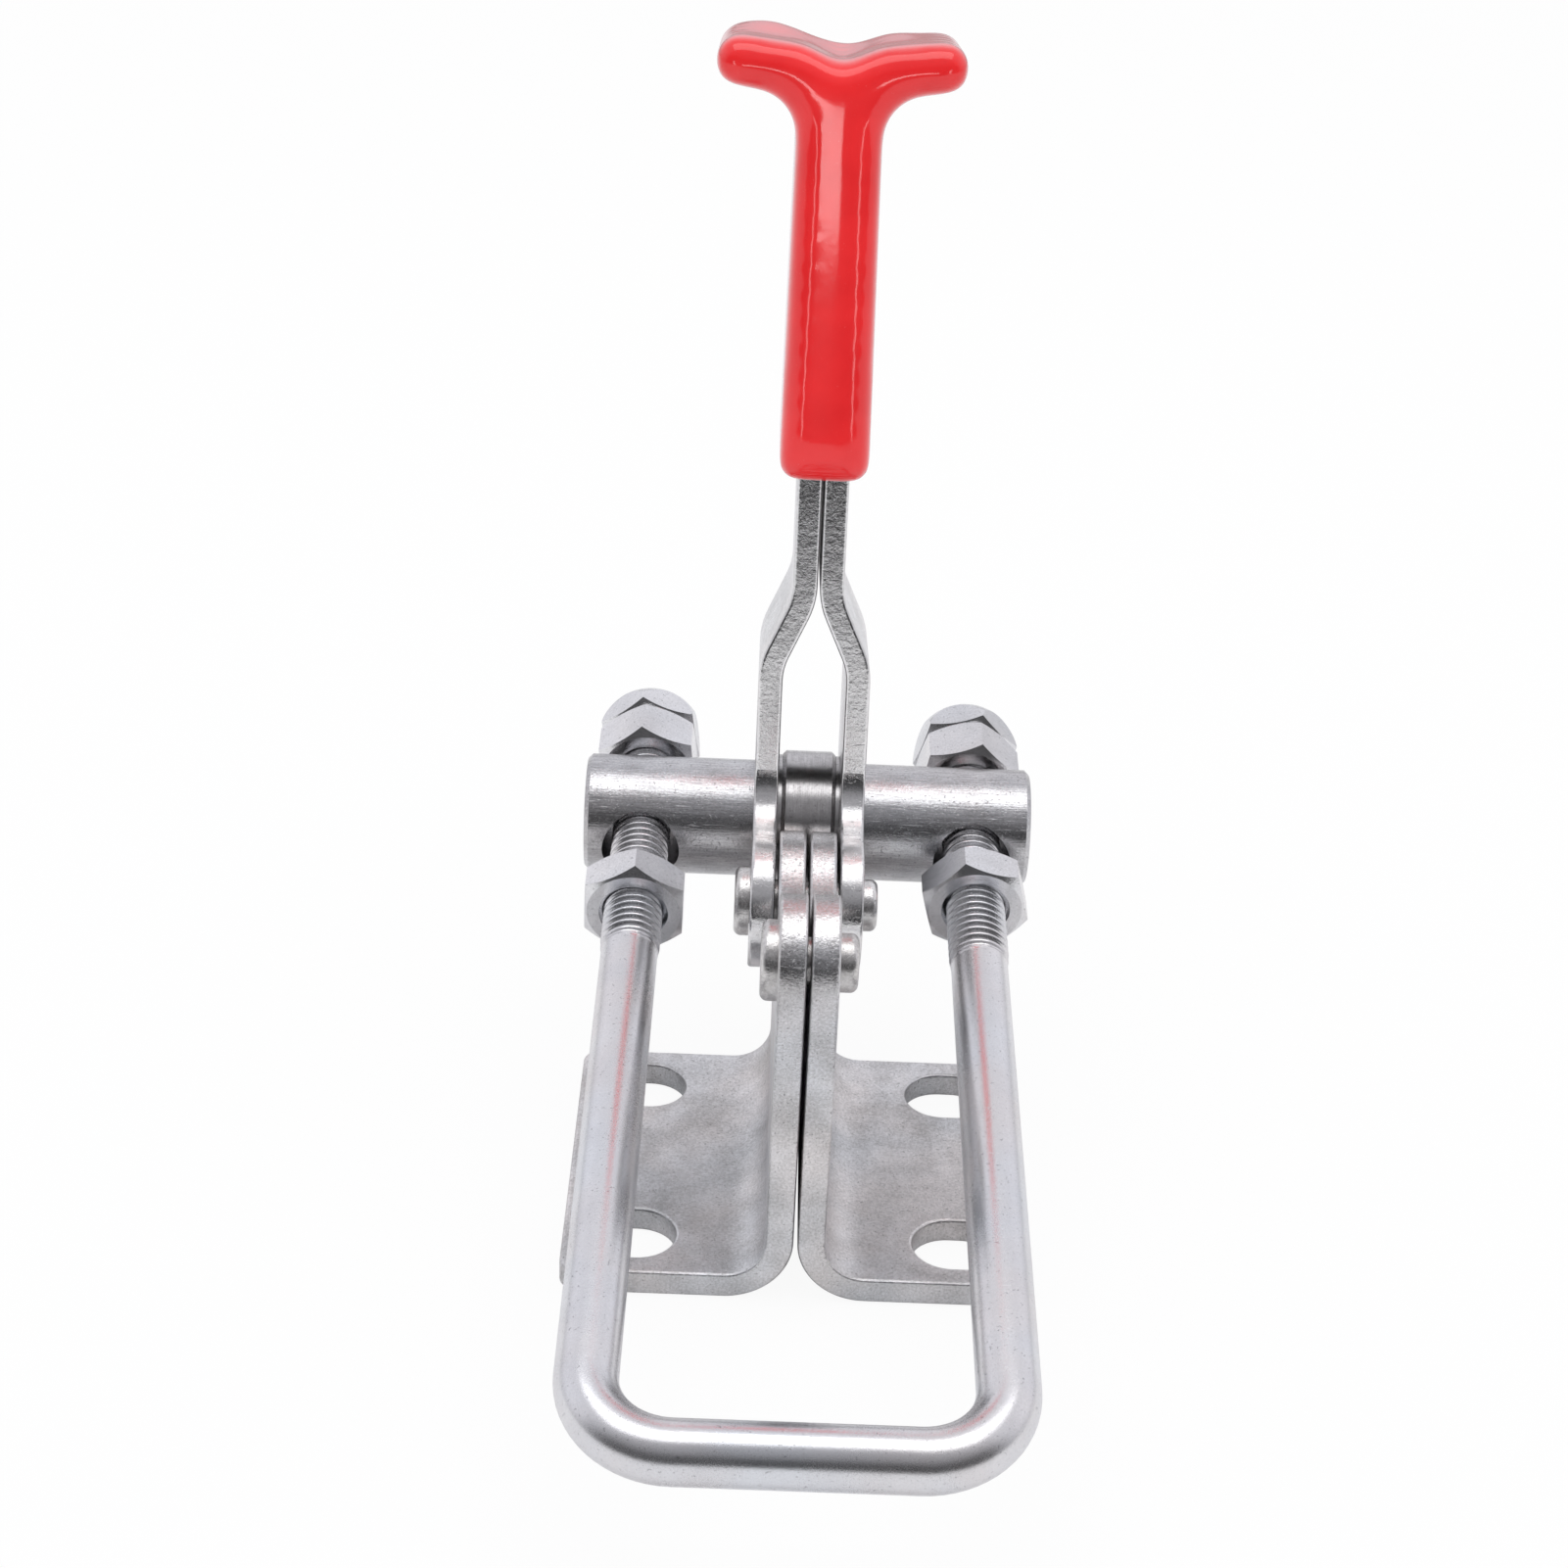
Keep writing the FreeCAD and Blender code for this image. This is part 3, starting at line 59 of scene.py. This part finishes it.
class Nodes:
    """Short hand for building the node tree of a material or of the world."""

    def __init__(self, owner, output):
        owner.use_nodes = True
        self.owner = owner
        self.tree = owner.node_tree
        self.tree.nodes.clear()
        self.out = self.add(output)

    def add(self, kind):
        return self.tree.nodes.new(kind)

    def link(self, source, target):
        self.tree.links.new(source, target)

    def fill(self, socket, value):
        """Set a socket to a number or a colour, or link it to another node."""
        if isinstance(value, (int, float)):
            socket.default_value = value
        elif isinstance(value, (tuple, list)):
            socket.default_value = (*value, 1.0)
        else:
            self.link(value, socket)

    def axis(self, kind, letter):
        """One axis of the Object, Normal or Generated coordinates."""
        coordinates = self.add("ShaderNodeTexCoord")
        split = self.add("ShaderNodeSeparateXYZ")
        self.link(coordinates.outputs[kind], split.inputs[0])
        return split.outputs[letter]

    def facing(self, letter):
        """How much the surface faces along an axis, without sign."""
        return self.maths("ABSOLUTE", self.axis("Normal", letter))

    def noise(self, scale, detail=4.0, rough=0.55, distortion=0.0):
        """Noise with its waves per millimetre, the same or one along each axis."""
        if isinstance(scale, (int, float)):
            scale = (scale, scale, scale)
        coordinates = self.add("ShaderNodeTexCoord")
        mapping = self.add("ShaderNodeMapping")
        mapping.inputs["Scale"].default_value = [1000.0 * part for part in scale]
        self.link(coordinates.outputs["Object"], mapping.inputs["Vector"])
        texture = self.add("ShaderNodeTexNoise")
        texture.inputs["Scale"].default_value = 1.0
        texture.inputs["Detail"].default_value = detail
        texture.inputs["Roughness"].default_value = rough
        texture.inputs["Distortion"].default_value = distortion
        self.link(mapping.outputs["Vector"], texture.inputs["Vector"])
        return texture.outputs["Fac"]

    def ramp(self, value, low, high, bottom=0.0, top=1.0):
        """Map value from low..high to bottom..top, clamped."""
        node = self.add("ShaderNodeMapRange")
        node.clamp = True
        node.inputs["From Min"].default_value = low
        node.inputs["From Max"].default_value = high
        node.inputs["To Min"].default_value = bottom
        node.inputs["To Max"].default_value = top
        self.link(value, node.inputs["Value"])
        return node.outputs["Result"]

    def stops(self, value, stops):
        """A grey that follows stops, along a value from -1 to 1 taken as 0 to 1."""
        scaled = self.add("ShaderNodeMapRange")
        scaled.inputs["From Min"].default_value = -1.0
        self.link(value, scaled.inputs["Value"])
        node = self.add("ShaderNodeValToRGB")
        self.link(scaled.outputs["Result"], node.inputs["Fac"])
        elements = node.color_ramp.elements
        elements[0].position, elements[1].position = stops[0][0], stops[-1][0]
        for position, level in stops[1:-1]:
            elements.new(position)
        for element, (position, level) in zip(elements, stops):
            element.color = (level, level * 0.995, level * 1.05, 1.0)
        return node.outputs["Color"]

    def maths(self, operation, first, second=0.5):
        node = self.add("ShaderNodeMath")
        node.operation = operation
        self.fill(node.inputs[0], first)
        self.fill(node.inputs[1], second)
        return node.outputs[0]

    def times(self, first, second):
        return self.maths("MULTIPLY", first, second)

    def blend(self, first, share, second):
        """Two heights or tones added: the share of the first, and the rest of the second."""
        return self.maths("ADD", self.times(first, share), self.times(second, 1 - share))

    def mix(self, factor, first, second, mode="MIX"):
        node = self.add("ShaderNodeMix")
        node.data_type = "RGBA"
        node.blend_type = mode
        self.fill(node.inputs[0], factor)
        self.fill(node.inputs[6], first)
        self.fill(node.inputs[7], second)
        return node.outputs[2]

    def mix_shader(self, factor, first, second):
        node = self.add("ShaderNodeMixShader")
        self.link(factor, node.inputs[0])
        self.link(first, node.inputs[1])
        self.link(second, node.inputs[2])
        return node.outputs[0]

    def glow(self, kind, strength):
        """A white emission or background."""
        node = self.add(kind)
        node.inputs["Color"].default_value = WHITE
        node.inputs["Strength"].default_value = strength
        return node.outputs[0]

    def bump(self, height, strength, distance, normal=None):
        node = self.add("ShaderNodeBump")
        node.inputs["Strength"].default_value = strength
        node.inputs["Distance"].default_value = distance
        self.link(height, node.inputs["Height"])
        if normal is not None:
            self.link(normal, node.inputs["Normal"])
        return node.outputs["Normal"]


def new_material(name):
    return Nodes(bpy.data.materials.new(name), "ShaderNodeOutputMaterial")


def principled(n, colour, metallic, roughness, normal):
    shader = n.add("ShaderNodeBsdfPrincipled")
    n.link(shader.outputs["BSDF"], n.out.inputs["Surface"])
    n.link(colour, shader.inputs["Base Color"])
    shader.inputs["Metallic"].default_value = metallic
    n.link(roughness, shader.inputs["Roughness"])
    n.link(normal, shader.inputs["Normal"])
    return shader


# Steel. Noise is in waves per millimetre, bump distances are in metres.
CLOUD = 0.16
WARMTH = 0.07
PITS = 2.4
DENTS = 1.3
WAVES = 0.35
SCRATCHES = ((0.25, 5.0, 2.2), (2.6, 0.3, 5.0))
COOL = (0.955, 0.975, 1.0)
WARM = (1.0, 0.965, 0.950)
SCRATCH_COLOUR = (0.82, 0.82, 0.83)
GRAIN_DEPTH = 0.00012
WAVE_DEPTH = 0.0002


def steel(name, dark, light, rough, grain, streak=None, tint=0.5, bump=0.15, cut=None, wave=0.08):
    """Stainless steel: fine grain, cloudy polish, streaks along one axis, few scratches.

    cut describes the sheared edges: their roughness, the height in millimetres where they
    start, how far they turn to the light colour (partly the cut metal's own brightness, partly
    painted sheen), and how deep their dents are.
    """
    n = new_material(name)
    fine = n.noise(grain, 5.0, 0.7)
    cloud = n.noise(CLOUD, 3.0, 0.5, 0.4)
    tone = n.blend(fine, 0.6, cloud)
    height = fine
    if streak:
        lines = n.noise(streak, 4.0, 0.6)
        tone = n.blend(tone, 0.6, lines)
        height = n.blend(fine, 0.6, lines)
    lengthwise, crosswise = [n.ramp(n.noise(run, 2.0, 0.5, 0.6), 0.68, 0.73) for run in SCRATCHES]
    marks = n.maths("MAXIMUM", lengthwise, crosswise)
    pits = n.ramp(n.noise(PITS, 2.0, 0.6), 0.30, 0.36, 1.0, 0.0)

    colour = n.mix(n.ramp(tone, 0.36, 0.64), dark, light)
    cast = n.mix(n.ramp(n.noise(WARMTH, 2.0), 0.35, 0.65), COOL, WARM)
    colour = n.mix(tint, colour, n.mix(1.0, colour, cast, "MULTIPLY"))
    colour = n.mix(n.times(pits, 0.55), colour, [part * 0.45 for part in dark])
    colour = n.mix(n.times(marks, 0.22), colour, SCRATCH_COLOUR)
    roughness = n.ramp(tone, 0.3, 0.7, rough + 0.06, rough - 0.05)
    if cut:
        edge_rough, start, edge_tone_and_painted_sheen, depth = cut
        high = n.ramp(n.axis("Object", "Z"), start * MM, (start + 2) * MM)
        narrow = n.ramp(n.facing("X"), 0.35, 0.6, 1.0, 0.0)
        ends = n.ramp(n.facing("Y"), 0.6, 0.8)
        side = n.maths("MAXIMUM", n.times(narrow, high), ends)
        # Edge faces painted toward the light colour: partly the cut steel's own brightness, partly
        # painted sheen.
        colour = n.mix(n.times(side, edge_tone_and_painted_sheen), colour, light)
        polished = n.ramp(fine, 0.3, 0.7, edge_rough + 0.05, edge_rough - 0.04)
        roughness = n.mix(side, roughness, polished)
        dents = n.times(n.noise(DENTS, 3.0, 0.6), side)
        height = n.maths("ADD", height, n.times(dents, depth))
    height = n.maths("SUBTRACT", height, n.times(pits, 0.5))
    height = n.maths("SUBTRACT", height, n.times(marks, 0.3))
    normal = n.bump(height, bump, GRAIN_DEPTH)
    normal = n.bump(n.noise(WAVES, 2.0), wave, WAVE_DEPTH, normal)
    principled(n, colour, 1.0, roughness, normal)
    return n.owner


bracket = steel(
    "bracket_steel", dark=(0.44, 0.435, 0.43), light=(0.84, 0.835, 0.84), rough=0.34, grain=3.0,
    tint=0.9, bump=0.45, cut=(0.20, 12, 0.0, 1.0), wave=0.2,
)
# Its sheared edges turn 0.6 of the way to the light colour: partly the cut steel's own brightness,
# partly painted sheen.
plate = steel(
    "handle_steel", dark=(0.52, 0.515, 0.515), light=(0.86, 0.855, 0.855), rough=0.28, grain=3.0,
    streak=(0.5, 1.6, 1.6), bump=0.22, cut=(0.085, 50, 0.6, 0.7), wave=0.12,
)
rivets = steel(
    "rivet_steel", dark=(0.50, 0.49, 0.48), light=(0.78, 0.77, 0.76), rough=0.24, grain=2.2,
    tint=0.4, bump=0.35,
)
bar = steel(
    "bar_steel", dark=(0.36, 0.355, 0.36), light=(0.72, 0.72, 0.73), rough=0.21, grain=3.2,
    streak=(0.25, 4.0, 4.0), bump=0.40,
)
roller = steel(
    "roller_steel", dark=(0.36, 0.35, 0.35), light=(0.60, 0.59, 0.59), rough=0.22, grain=2.2,
    streak=(6.0, 0.3, 0.3), tint=0.3, bump=0.06,
)
rod = steel(
    "hook_steel", dark=(0.66, 0.66, 0.68), light=(0.78, 0.785, 0.80), rough=0.25, grain=4.0,
    tint=0.8, bump=0.08,
)
nuts = steel(
    "nut_steel", dark=(0.64, 0.64, 0.65), light=(0.84, 0.84, 0.85), rough=0.18, grain=3.6,
    bump=0.14,
)


def vinyl(name):
    """Glossy red dipped coating with a clear coat, a little dust and faint waves."""
    n = new_material(name)
    cloud = n.noise(0.12, 3.0)
    fine = n.noise(1.4, 3.0)
    colour = n.mix(n.ramp(cloud, 0.35, 0.65), (0.76, 0.010, 0.013), (0.84, 0.015, 0.018))
    dust = n.ramp(n.noise(5.0, 2.0, 0.5), 0.72, 0.76)
    colour = n.mix(n.times(dust, 0.25), colour, (0.85, 0.30, 0.28))
    roughness = n.ramp(cloud, 0.3, 0.7, 0.30, 0.36)
    normal = n.bump(n.noise(0.10, 2.0), 0.02, 0.0006)
    normal = n.bump(fine, 0.03, 0.0001, normal)
    shader = principled(n, colour, 0.0, roughness, normal)
    n.link(normal, shader.inputs["Coat Normal"])
    shader.inputs["Specular IOR Level"].default_value = 0.2
    shader.inputs["Coat Weight"].default_value = 1.0
    shader.inputs["Coat Roughness"].default_value = 0.08
    shader.inputs["Subsurface Weight"].default_value = 0.05
    shader.inputs["Subsurface Radius"].default_value = (0.003, 0.0008, 0.0005)
    return n.owner


red = vinyl("grip_vinyl")

LOOKS = {
    "base_bracket_left": bracket,
    "base_bracket_right": bracket,
    "frame_rivet": rivets,
    "pivot_rivet": rivets,
    "handle_plate_left": plate,
    "handle_plate_right": plate,
    "handle_grip": red,
    "cross_bar": bar,
    "centre_roller": roller,
    "roller_washer_left": roller,
    "roller_washer_right": roller,
    "hook": rod,
    "front_nut_left": nuts,
    "front_nut_right": nuts,
    "rear_nut_left": nuts,
    "rear_nut_right": nuts,
    "cap_nut_left": nuts,
    "cap_nut_right": nuts,
}
for name, look in LOOKS.items():
    for slot in nodes[name].material_slots:
        slot.material = look


# The hook with its rolled threads, in millimetres from the cross bar's axis.
BAR = Vector((0.0, 32.0, 38.0))
DROOP = math.radians(10.0)
LEG_BAR = 22.5
LEG_END = 23.7
REACH = 109.5
BEND = 10.0
ROD = 3.7
CREST = 3.93
ROOT = 3.32
CREST_FLAT = 0.12
FLANK = 0.74
PITCH = 1.25
FRONT = 28.0
BACK = -20.0
TIP = 2.75
TIP_SLOPE = 0.9
AROUND = 40
RINGS_PER_PITCH = 8
LEG_STEP = 2.5
BEND_STEPS = 16
NO_THREAD = 1000.0


def hook_world(x, y, z):
    """From the hook's own plane to the latch, in metres."""
    turned = Matrix.Rotation(DROOP, 3, "X") @ Vector((x, y, z))
    return (BAR + turned) * MM


def thread_radius(along, angle):
    """Radius of the rod at a place along the leg; the thread runs out at its end."""
    if along > FRONT + PITCH:
        return ROD
    phase = (along / PITCH - angle / (2 * math.pi)) % 1.0
    tooth = abs(phase * 2 - 1)
    height = smooth_step(tooth, CREST_FLAT, CREST_FLAT + FLANK)
    radius = ROOT + (CREST - ROOT) * height
    fade = min(max((along - FRONT + PITCH * 0.5) / (PITCH * 1.5), 0.0), 1.0)
    radius = radius * (1 - fade) + ROD * fade
    return min(radius, TIP + (along - BACK) * TIP_SLOPE)


def hook_path():
    """Centre, direction and distance along the leg, from one tip to the other."""
    splay = math.atan((LEG_END - LEG_BAR) / REACH)
    down = Vector((math.sin(splay), -math.cos(splay), 0))
    leg_x = LEG_BAR + (REACH - BEND) * math.tan(splay)
    corner = Vector((leg_x - BEND / math.cos(splay), -(REACH - BEND), 0))
    leg_end = corner + Vector((math.cos(splay), math.sin(splay), 0)) * BEND
    start = Vector((LEG_BAR, 0, 0))
    length = (leg_end - start).dot(down)
    half = []
    step = PITCH / RINGS_PER_PITCH
    count = int((FRONT + 2 * PITCH - BACK) / step)
    for index in range(count + 1):
        along = BACK + index * step
        half.append((start + down * along, down, along))
    along = half[-1][2] + 2.0
    while along < length - 1.0:
        half.append((start + down * along, down, along))
        along += LEG_STEP
    for index in range(BEND_STEPS + 1):
        angle = splay + (-math.pi / 2 - splay) * index / BEND_STEPS
        radial = Vector((math.cos(angle), math.sin(angle), 0))
        tangent = Vector((math.sin(angle), -math.cos(angle), 0))
        half.append((corner + radial * BEND, tangent, NO_THREAD))
    for part in (0.75, 0.5, 0.25, 0.0):
        half.append((Vector((corner.x * part, -REACH, 0)), Vector((-1, 0, 0)), NO_THREAD))
    other = []
    for point, tangent, along in reversed(half[:-1]):
        mirrored = Vector((-point.x, point.y, 0))
        other.append((mirrored, Vector((tangent.x, -tangent.y, 0)), along))
    return half + other


def build_hook(name):
    shape = bmesh.new()
    up = Vector((0, 0, 1))
    rings = []
    for point, tangent, along in hook_path():
        side = tangent.cross(up).normalized()
        ring = []
        for index in range(AROUND):
            angle = 2 * math.pi * index / AROUND
            radius = thread_radius(along, angle)
            place = point + (side * math.cos(angle) + up * math.sin(angle)) * radius
            ring.append(shape.verts.new(hook_world(*place)))
        rings.append(ring)
    for first, second in zip(rings, rings[1:]):
        for index in range(AROUND):
            after = (index + 1) % AROUND
            shape.faces.new((first[index], first[after], second[after], second[index]))
    shape.faces.new(list(reversed(rings[0])))
    shape.faces.new(rings[-1])
    bmesh.ops.recalc_face_normals(shape, faces=shape.faces)
    mesh = bpy.data.meshes.new(name)
    shape.to_mesh(mesh)
    shape.free()
    for face in mesh.polygons:
        face.use_smooth = len(face.vertices) == 4
    mesh.materials.append(rod)
    return add_object(name, mesh)


hook = build_hook("threaded_hook")
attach(hook, "hook")
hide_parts("hook")


# The grip with its rounded dipped coat. Lengths are in millimetres in the handle's own
# frame, which leans with it: x across, y to the rear, z up from the cross bar's axis.
LEAN = math.radians(-10.0)
VOXEL = 0.0006
RELAX_ROUNDS = 34
COAT_SWELL = 0.35
FRONT_CROWN = 0.45
DRIPS = ((0.9, -9.0, 4.0), (0.8, -0.5, 3.2), (0.3, 7.0, 3.0))


def handle_local(point):
    """From the latch, in metres, to the handle's own frame, in millimetres."""
    return Matrix.Rotation(-LEAN, 3, "X") @ (point / MM - BAR)


def handle_world(point):
    return (BAR + Matrix.Rotation(LEAN, 3, "X") @ point) * MM


def outer_skin(source, steels):
    """The outside of the coat, closed below, without the room for the steel."""
    trees = []
    for steel_part in steels:
        shape = bmesh.new()
        shape.from_mesh(steel_part.data)
        trees.append(BVHTree.FromBMesh(shape))
        shape.free()
    skin = bmesh.new()
    skin.from_mesh(source.data)
    bmesh.ops.remove_doubles(skin, verts=skin.verts, dist=0.00001)
    axis = Matrix.Rotation(LEAN, 3, "X") @ Vector((0, 0, 1))
    inside = []
    for face in skin.faces:
        near = min(tree.find_nearest(face.calc_center_median())[3] for tree in trees)
        if near < 0.0004 and face.normal.dot(axis) > -0.9:
            inside.append(face)
    bmesh.ops.delete(skin, geom=inside, context="FACES")
    rim = [edge for edge in skin.edges if edge.is_boundary]
    bmesh.ops.holes_fill(skin, edges=rim, sides=0)
    return skin


def soften(skin, name):
    """The skin as an even mesh with its edges rounded, as liquid vinyl leaves them."""
    mesh = bpy.data.meshes.new(name + "_skin")
    skin.to_mesh(mesh)
    skin.free()
    rough = add_object(name + "_skin", mesh)
    remesh = rough.modifiers.new("remesh", "REMESH")
    remesh.mode = "VOXEL"
    remesh.voxel_size = VOXEL
    relax = rough.modifiers.new("relax", "SMOOTH")
    relax.factor = 0.5
    relax.iterations = RELAX_ROUNDS
    graph = bpy.context.evaluated_depsgraph_get()
    smooth = bpy.data.meshes.new_from_object(rough.evaluated_get(graph))
    bpy.data.objects.remove(rough)
    smooth.name = name
    return smooth


def build_grip(name):
    steels = [nodes["handle_plate_left"], nodes["handle_plate_right"]]
    mesh = soften(outer_skin(nodes["handle_grip"], steels), name)
    level = Matrix.Rotation(-LEAN, 3, "X")
    turns = [level @ vertex.normal for vertex in mesh.vertices]
    places = [handle_local(vertex.co) for vertex in mesh.vertices]
    flat = sorted(
        place.y for place, turned in zip(places, turns)
        if turned.y < -0.98 and 60 < place.z < 85
    )
    front_face = flat[len(flat) // 2]
    for vertex, place, turned in zip(mesh.vertices, places, turns):
        # The stem's front is drawn to one plane, then the whole coat grows back.
        if turned.y < -0.5:
            stem = smooth_step(place.z, 52.0, 55.0) * smooth_step(-place.z, -92.0, -88.0)
            middle = smooth_step(-abs(place.x), -2.6, -1.2)
            place.y += (front_face - place.y) * stem * middle
        place += turned * COAT_SWELL
        crown = max(-turned.y, 0.0) * FRONT_CROWN * bell(place.x, -0.8, 3.4)
        place.y -= crown * smooth_step(place.z, 50.5, 56.0)
        # Small runs stand on the rear of the top.
        rear = smooth_step(place.y, -3.0, 9.0) * smooth_step(place.z, 92.0, 97.0)
        runs = sum(size * bell(place.x, middle, width) for size, middle, width in DRIPS)
        place.z += max(turned.z, 0.0) * rear * runs
        vertex.co = handle_world(place)
    for face in mesh.polygons:
        face.use_smooth = True
    mesh.materials.clear()
    mesh.materials.append(red)
    return add_object(name, mesh)


grip = build_grip("dipped_grip")
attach(grip, "handle")
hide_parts("handle_grip")


# The studio, in metres. The floor is pale paper, white to the camera. In a mirrored view
# it ends in front and grows dim far behind.
FLOOR_SIZE = 3.0
FLOOR_DROP = -0.0002
PAPER = (0.86, 0.86, 0.88)
WHITE_SHARE = 0.93
SHEET_FRONT = (-0.84, -0.56, 0.06, 1.1)
SHEET_BACK = (0.7, 1.5, 1.0, 0.45)

# Brightness of the room against height, from straight down to straight up, and how much
# of the back room is seen against the direction, from the front to the back.
FRONT_ROOM = [
    (0.0, 0.75), (0.47, 0.05), (0.60, 0.05), (0.70, 0.08), (0.80, 0.26), (0.88, 0.36), (1.0, 0.40),
]
BACK_ROOM = [(0.0, 0.85), (0.50, 0.60), (0.58, 0.85), (0.70, 0.92), (0.84, 0.85), (0.96, 0.70)]
FRONT_TO_BACK = [(0.0, 0.0), (0.25, 0.06), (0.45, 0.85), (0.60, 1.0)]
FILL = 0.82


def floor_material():
    n = new_material("pale_floor")
    rays = n.add("ShaderNodeLightPath")
    along = n.axis("Object", "Y")
    sheet = n.times(n.ramp(along, *SHEET_FRONT), n.ramp(along, *SHEET_BACK))
    dim = n.times(n.maths("SUBTRACT", 1.0, sheet), rays.outputs["Is Glossy Ray"])
    diffuse = n.add("ShaderNodeBsdfDiffuse")
    n.link(n.mix(dim, PAPER, (0.0, 0.0, 0.0)), diffuse.inputs["Color"])
    white = n.glow("ShaderNodeEmission", 1.0)
    seen = n.times(rays.outputs["Is Camera Ray"], WHITE_SHARE)
    n.link(n.mix_shader(seen, diffuse.outputs[0], white), n.out.inputs["Surface"])
    return n.owner


def build_floor():
    mesh = bpy.data.meshes.new("floor")
    size = FLOOR_SIZE
    corners = [(-size, -size, 0), (size, -size, 0), (size, size, 0), (-size, size, 0)]
    mesh.from_pydata(corners, [], [(0, 1, 2, 3)])
    mesh.materials.append(floor_material())
    floor = add_object("floor", mesh)
    floor.location.z = FLOOR_DROP


def build_world():
    """White to the camera, an even fill for colours, and a shaped room for shine."""
    world = bpy.data.worlds.new("studio")
    bpy.context.scene.world = world
    n = Nodes(world, "ShaderNodeOutputWorld")
    rays = n.add("ShaderNodeLightPath")
    front = n.stops(n.axis("Generated", "Z"), FRONT_ROOM)
    back = n.stops(n.axis("Generated", "Z"), BACK_ROOM)
    turn = n.stops(n.axis("Generated", "Y"), FRONT_TO_BACK)
    room = n.add("ShaderNodeBackground")
    room.inputs["Strength"].default_value = 1.0
    n.link(n.mix(turn, front, back), room.inputs["Color"])
    fill = n.glow("ShaderNodeBackground", FILL)
    white = n.glow("ShaderNodeBackground", 1.0)
    shine = n.mix_shader(rays.outputs["Is Glossy Ray"], fill, room.outputs[0])
    mixed = n.mix_shader(rays.outputs["Is Camera Ray"], shine, white)
    n.link(mixed, n.out.inputs["Surface"])


def build_camera():
    """The photograph's own place, tilt and lens."""
    photo_width = 1601
    lens_pixels = 3006.64
    shift_pixels = 2.69
    pitch = math.radians(28.622)
    yaw = math.radians(0.727)
    roll = math.radians(2.602)
    forward = Vector((
        math.sin(yaw) * math.cos(pitch),
        math.cos(yaw) * math.cos(pitch),
        -math.sin(pitch),
    ))
    level = Vector((math.cos(yaw), -math.sin(yaw), 0))
    rise = level.cross(forward)
    right = level * math.cos(roll) + rise * math.sin(roll)
    up = rise * math.cos(roll) - level * math.sin(roll)
    data = bpy.data.cameras.new("camera")
    data.sensor_fit = "HORIZONTAL"
    data.sensor_width = 36.0
    data.lens = lens_pixels / photo_width * data.sensor_width
    data.shift_y = shift_pixels / photo_width
    data.clip_start = 0.01
    data.clip_end = 20.0
    camera = add_object("camera", data)
    columns = Matrix((right, up, -forward)).transposed()
    camera.matrix_world = Matrix.Translation((-0.00781, -0.32205, 0.23627)) @ columns.to_4x4()
    bpy.context.scene.camera = camera


def area(name, place, target, width, height, watts, lit=None):
    """A soft box. With lit given, it shines on that piece alone."""
    lamp = bpy.data.lights.new(name, "AREA")
    lamp.shape = "RECTANGLE"
    lamp.size = width
    lamp.size_y = height
    lamp.energy = watts
    holder = add_object(name, lamp)
    holder.location = place
    aim = Vector(target) - Vector(place)
    holder.rotation_euler = aim.to_track_quat("-Z", "Y").to_euler()
    if lit:
        group = bpy.data.collections.new(name + "_lit")
        group.objects.link(lit)
        holder.light_linking.receiver_collection = group


build_floor()
build_world()
build_camera()
area("top_box", (0.0, 0.03, 0.95), (0.0, 0.03, 0.0), 1.0, 0.58, 3.0)
area("front_box", (-0.12, -0.95, 0.185), (0.0, 0.05, 0.12), 0.62, 0.07, 0.75, grip)
area("left_strip", (-0.62, -0.80, 0.12), (0.0, 0.05, 0.10), 0.06, 0.30, 0.20, grip)
area("right_strip", (0.62, -0.80, 0.12), (0.0, 0.05, 0.10), 0.06, 0.30, 0.20, grip)

bpy.context.scene.view_settings.view_transform = "Standard"
